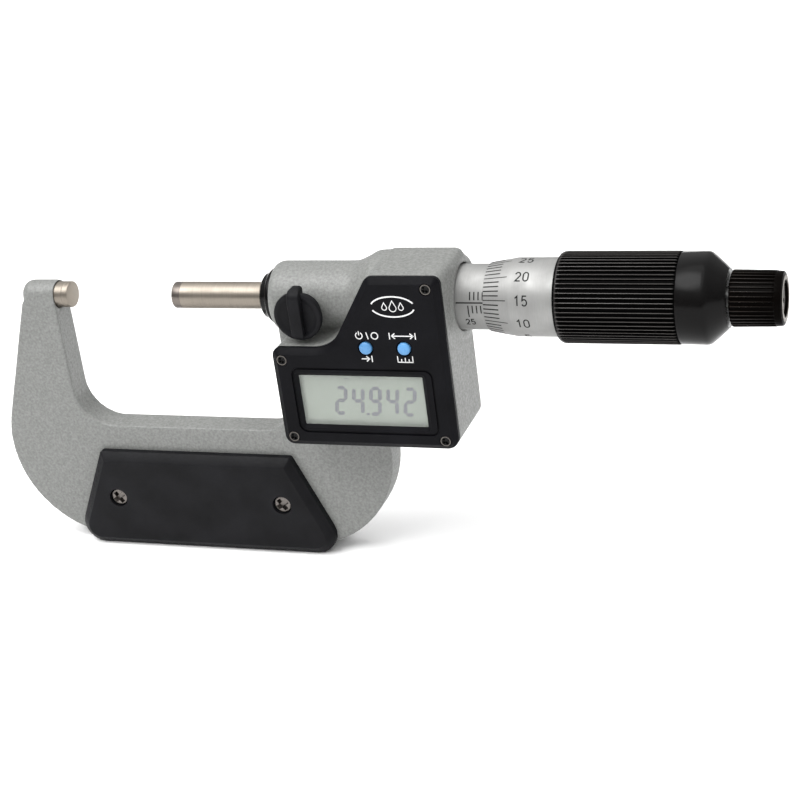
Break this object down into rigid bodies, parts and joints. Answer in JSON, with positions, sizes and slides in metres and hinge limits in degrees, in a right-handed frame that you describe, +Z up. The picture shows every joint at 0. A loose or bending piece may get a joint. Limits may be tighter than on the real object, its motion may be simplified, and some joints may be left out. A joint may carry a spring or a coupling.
{
  "type": "outside micrometer",
  "caption": "Outside micrometer, 25 to 50 mm: C-shaped frame with anvil, screw-driven spindle, graduated sleeve and thimble, ratchet, lock and digital display.",
  "frame": {"origin": "centre of the anvil's measuring face", "axes": "+X along the measuring line from the anvil to the ratchet, -Y towards the display side, +Z up"},
  "size_m": [0.2005, 0.028, 0.0783],
  "materials": {
    "enamel": "hammertone enamel on cast iron, light grey",
    "ground_steel": "ground and lapped steel",
    "carbide": "lapped carbide",
    "hardened_steel": "turned, hardened",
    "screw_steel": "nickel-plated",
    "screw_black": "blackened",
    "spring_steel": "bright wire",
    "battery_steel": "plated can",
    "satin_chrome": "satin chrome",
    "black_plastic": "fine-grained, black",
    "cover_plastic": "fine-grained, black",
    "grip_black": "ribbed, black",
    "black_metal": "black anodised, satin",
    "button_blue": "glossy, light blue",
    "window_clear": "clear acrylic",
    "lcd_glass": "reflective display cell",
    "board_green": "solder resist",
    "seal_rubber": "soft, matt",
    "brass": "plain"
  },
  "bodies": {
    "frame": {"frame": "enamel", "anvil": "ground_steel", "anvil_tip": "carbide", "front_grip_plate": "black_plastic", "rear_grip_plate": "black_plastic", "front_plate_screws": "screw_steel", "rear_plate_screws": "screw_steel", "guide_bush": "hardened_steel", "wiper_ring": "seal_rubber", "seal_cap": "black_metal", "display_cover": "cover_plastic", "cover_gasket": "seal_rubber", "cover_screws": "screw_steel", "display_window": "window_clear", "lcd_panel": "lcd_glass", "contact_strips": "seal_rubber", "circuit_board": "board_green", "switch_domes": "spring_steel", "button_seal": "seal_rubber", "battery": "battery_steel", "battery_contact": "brass", "encoder_stator": "board_green", "stator_ribbon": "brass", "inner_sleeve": "hardened_steel", "graduated_sleeve": "satin_chrome", "adjusting_nut": "hardened_steel"},
    "lock_knob": {"lock_knob": "black_plastic", "lock_stem": "hardened_steel"},
    "lock_pad": {"lock_pad": "brass"},
    "power_button": {"power_button": "button_blue"},
    "mode_button": {"mode_button": "button_blue"},
    "battery_cap": {"battery_cap": "black_plastic", "battery_cap_oring": "seal_rubber"},
    "encoder_rotor": {"encoder_rotor": "brass", "rotor_key": "hardened_steel"},
    "spindle": {"spindle": "ground_steel", "spindle_tip": "carbide", "thimble": "satin_chrome", "grip_sleeve": "grip_black", "tail_cap": "black_metal", "thimble_nut": "hardened_steel", "ratchet_stub": "hardened_steel", "ratchet_driver": "hardened_steel", "ratchet_screw": "screw_black"},
    "ratchet_knob": {"ratchet_knob": "grip_black", "ratchet_follower": "hardened_steel", "ratchet_spring": "spring_steel"}
  },
  "joints": [
    {"name": "spindle_turn", "type": "hinge", "parent": "frame", "child": "encoder_rotor", "pos_m": [0.0885, 0, 0], "axis": [1, 0, 0], "range_deg": [-2622.96, 15377.04]},
    {"name": "spindle_travel", "type": "slide", "parent": "encoder_rotor", "child": "spindle", "axis": [1, 0, 0], "range_m": [-0.00364, 0.02136]},
    {"name": "ratchet_turn", "type": "hinge", "parent": "spindle", "child": "ratchet_knob", "pos_m": [0.17, 0, 0], "axis": [1, 0, 0], "continuous": true},
    {"name": "lock_turn", "type": "hinge", "parent": "frame", "child": "lock_knob", "pos_m": [0.0656, -0.011, 0], "axis": [0, 1, 0], "range_deg": [0, 75]},
    {"name": "lock_pad_travel", "type": "slide", "parent": "frame", "child": "lock_pad", "axis": [0, 1, 0], "range_m": [0, 0.000105]},
    {"name": "power_button_press", "type": "slide", "parent": "frame", "child": "power_button", "axis": [0, 1, 0], "range_m": [0, 0.0005], "stiffness_N_per_m": 1500, "springref_m": -0.0004},
    {"name": "mode_button_press", "type": "slide", "parent": "frame", "child": "mode_button", "axis": [0, 1, 0], "range_m": [0, 0.0005], "stiffness_N_per_m": 1500, "springref_m": -0.0004},
    {"name": "battery_cap_turn", "type": "hinge", "parent": "frame", "child": "battery_cap", "pos_m": [0.091, 0.003, -0.02], "axis": [0, 1, 0], "range_deg": [0, 90]}
  ],
  "couplings": [
    {"joint": "spindle_travel", "follows": "spindle_turn", "m_per_rad": 0.000079577},
    {"joint": "lock_pad_travel", "follows": "lock_turn", "m_per_rad": 0.000079577}
  ]
}
